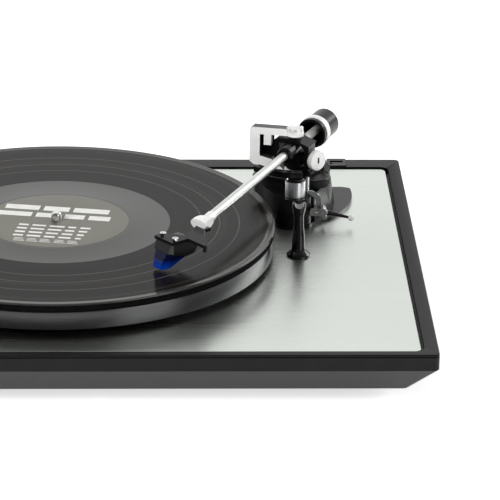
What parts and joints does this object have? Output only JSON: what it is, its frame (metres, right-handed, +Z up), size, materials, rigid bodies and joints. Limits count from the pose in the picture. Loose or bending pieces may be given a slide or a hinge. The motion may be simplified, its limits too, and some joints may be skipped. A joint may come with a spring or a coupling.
{
  "type": "turntable record player",
  "caption": "Belt-drive turntable: black plinth with bevelled lower edge, inset brushed plate, platter with mat and record, pivoted arm with counterweight, cueing lever and arm rest.",
  "frame": {"origin": "on the supporting surface, under the middle of the plinth's outline", "axes": "+X to the right seen from the front, +Y to the back, +Z up"},
  "size_m": [0.44, 0.366, 0.1021],
  "materials": {
    "plinth_black": "fine satin black lacquer with a slight grain",
    "cover_board": "matt black",
    "screw_steel": "zinc plated",
    "plate_aluminium": "brushed, satin anodised",
    "black_plastic": "satin black moulding",
    "foot_rubber": "matt rubber",
    "panel_steel": "black powder coat",
    "gold_contact": "gold flashed",
    "bearing_aluminium": "machined",
    "bronze": "sintered bronze",
    "bright_steel": "polished",
    "sub_platter_black": "moulded",
    "platter_metal": "dark anodised, turned",
    "mat_felt": "matt black",
    "record_vinyl": "pressed vinyl with fine grooves",
    "label_paper": "matt printed paper",
    "motor_steel": "zinc plated",
    "motor_core": "laminated core and winding",
    "belt_rubber": "ground flat belt",
    "board_green": "solder mask",
    "board_components": "components",
    "knob_black": "satin",
    "satin_silver": "satin",
    "gimbal_black": "satin black",
    "post_gloss": "gloss black",
    "weight_black": "satin black over steel",
    "lever_ball": "gloss white",
    "headshell_grey": "dark anodised",
    "cartridge_black": "satin moulding",
    "stylus_blue": "translucent blue moulding",
    "cantilever_metal": "drawn tube"
  },
  "bodies": {
    "plinth": {"plinth_frame": "plinth_black", "bottom_cover": "cover_board", "cover_screws": "screw_steel", "top_plate": "plate_aluminium", "foot_cups": "black_plastic", "foot_pads": "foot_rubber", "hinge_sockets": "black_plastic", "socket_panel": "panel_steel", "phono_sockets": "gold_contact", "ground_terminal": "gold_contact", "power_inlet": "black_plastic", "bearing_housing": "bearing_aluminium", "bearing_screws": "screw_steel", "bearing_bushes": "bronze", "thrust_ball": "bright_steel", "motor_can": "motor_steel", "motor_stator": "motor_core", "motor_mount": "motor_steel", "motor_screws": "screw_steel", "drive_belt": "belt_rubber", "control_board": "board_green", "board_parts": "board_components", "selector_switch": "black_plastic", "arm_base": "black_plastic", "gimbal_bracket": "satin_silver", "lower_bearing_cup": "bronze", "bearing_nut": "satin_silver", "arm_rest_post": "post_gloss", "lift_cylinder": "satin_silver", "lift_guide_rod": "bright_steel", "lever_bracket": "bright_steel"},
    "platter": {"spindle_shaft": "bright_steel", "sub_platter": "sub_platter_black", "outer_platter": "platter_metal", "platter_mat": "mat_felt", "record_disc": "record_vinyl", "record_label": "label_paper"},
    "motor_rotor": {"motor_magnet": "motor_core", "motor_shaft": "bright_steel", "motor_pulley": "sub_platter_black"},
    "selector_knob": {"selector_knob": "knob_black"},
    "antiskate_dial": {"antiskate_dial": "black_plastic"},
    "lift": {"lift_bar": "gimbal_black"},
    "cue_lever": {"cue_lever": "gimbal_black", "lever_tip": "lever_ball"},
    "yaw_gimbal": {"yaw_frame": "gimbal_black", "yaw_pivots": "bright_steel", "pitch_pivots": "bright_steel"},
    "force_dial": {"force_dial": "satin_silver"},
    "tonearm": {"arm_block": "gimbal_black", "arm_tube": "satin_silver", "tube_collar": "satin_silver", "headshell": "headshell_grey", "cartridge_screws": "bright_steel", "cartridge_body": "cartridge_black", "stylus_unit": "stylus_blue", "stylus_cantilever": "cantilever_metal", "rear_stub": "satin_silver"},
    "counterweight": {"counterweight_body": "weight_black", "counterweight_ring": "satin_silver"}
  },
  "joints": [
    {"name": "platter_spin", "type": "hinge", "parent": "plinth", "child": "platter", "pos_m": [-0.0302, 0.002, 0.0589], "axis": [0, 0, 1], "continuous": true},
    {"name": "motor_spin", "type": "hinge", "parent": "plinth", "child": "motor_rotor", "pos_m": [-0.097, 0.069, 0.05], "axis": [0, 0, 1], "continuous": true},
    {"name": "selector_turn", "type": "hinge", "parent": "plinth", "child": "selector_knob", "pos_m": [-0.182, -0.146, 0.045], "axis": [0, 0, 1], "range_deg": [-45, 45]},
    {"name": "antiskate_turn", "type": "hinge", "parent": "plinth", "child": "antiskate_dial", "pos_m": [0.1506, 0.075, 0.0679], "axis": [0, 0, 1], "range_deg": [-120, 120]},
    {"name": "cue_lever_turn", "type": "hinge", "parent": "plinth", "child": "cue_lever", "pos_m": [0.1558, 0.048, 0.0537], "axis": [0, -1, 0], "range_deg": [0, 75.01]},
    {"name": "lift_slide", "type": "slide", "parent": "plinth", "child": "lift", "axis": [0, 0, 1], "range_m": [0, 0.004]},
    {"name": "arm_swing", "type": "hinge", "parent": "plinth", "child": "yaw_gimbal", "pos_m": [0.138, 0.09, 0.0867], "axis": [0, 0, 1], "range_deg": [-18, 24.7]},
    {"name": "arm_raise", "type": "hinge", "parent": "yaw_gimbal", "child": "tonearm", "pos_m": [0.138, 0.09, 0.0792], "axis": [-0.9085, 0.4179, 0], "range_deg": [0, 3.61]},
    {"name": "counterweight_slide", "type": "slide", "parent": "tonearm", "child": "counterweight", "axis": [0.4179, 0.9085, 0], "range_m": [-0.004, 0.004]},
    {"name": "force_dial_turn", "type": "hinge", "parent": "yaw_gimbal", "child": "force_dial", "pos_m": [0.15168, 0.0836, 0.0796], "axis": [0.6561, -0.7547, 0], "range_deg": [-150, 150]}
  ],
  "couplings": [
    {"joint": "motor_spin", "follows": "platter_spin", "ratio": 10.167},
    {"joint": "cue_lever_turn", "follows": "lift_slide", "rad_per_m": 327.25},
    {"joint": "arm_raise", "follows": "lift_slide", "rad_per_m": 15.708}
  ]
}
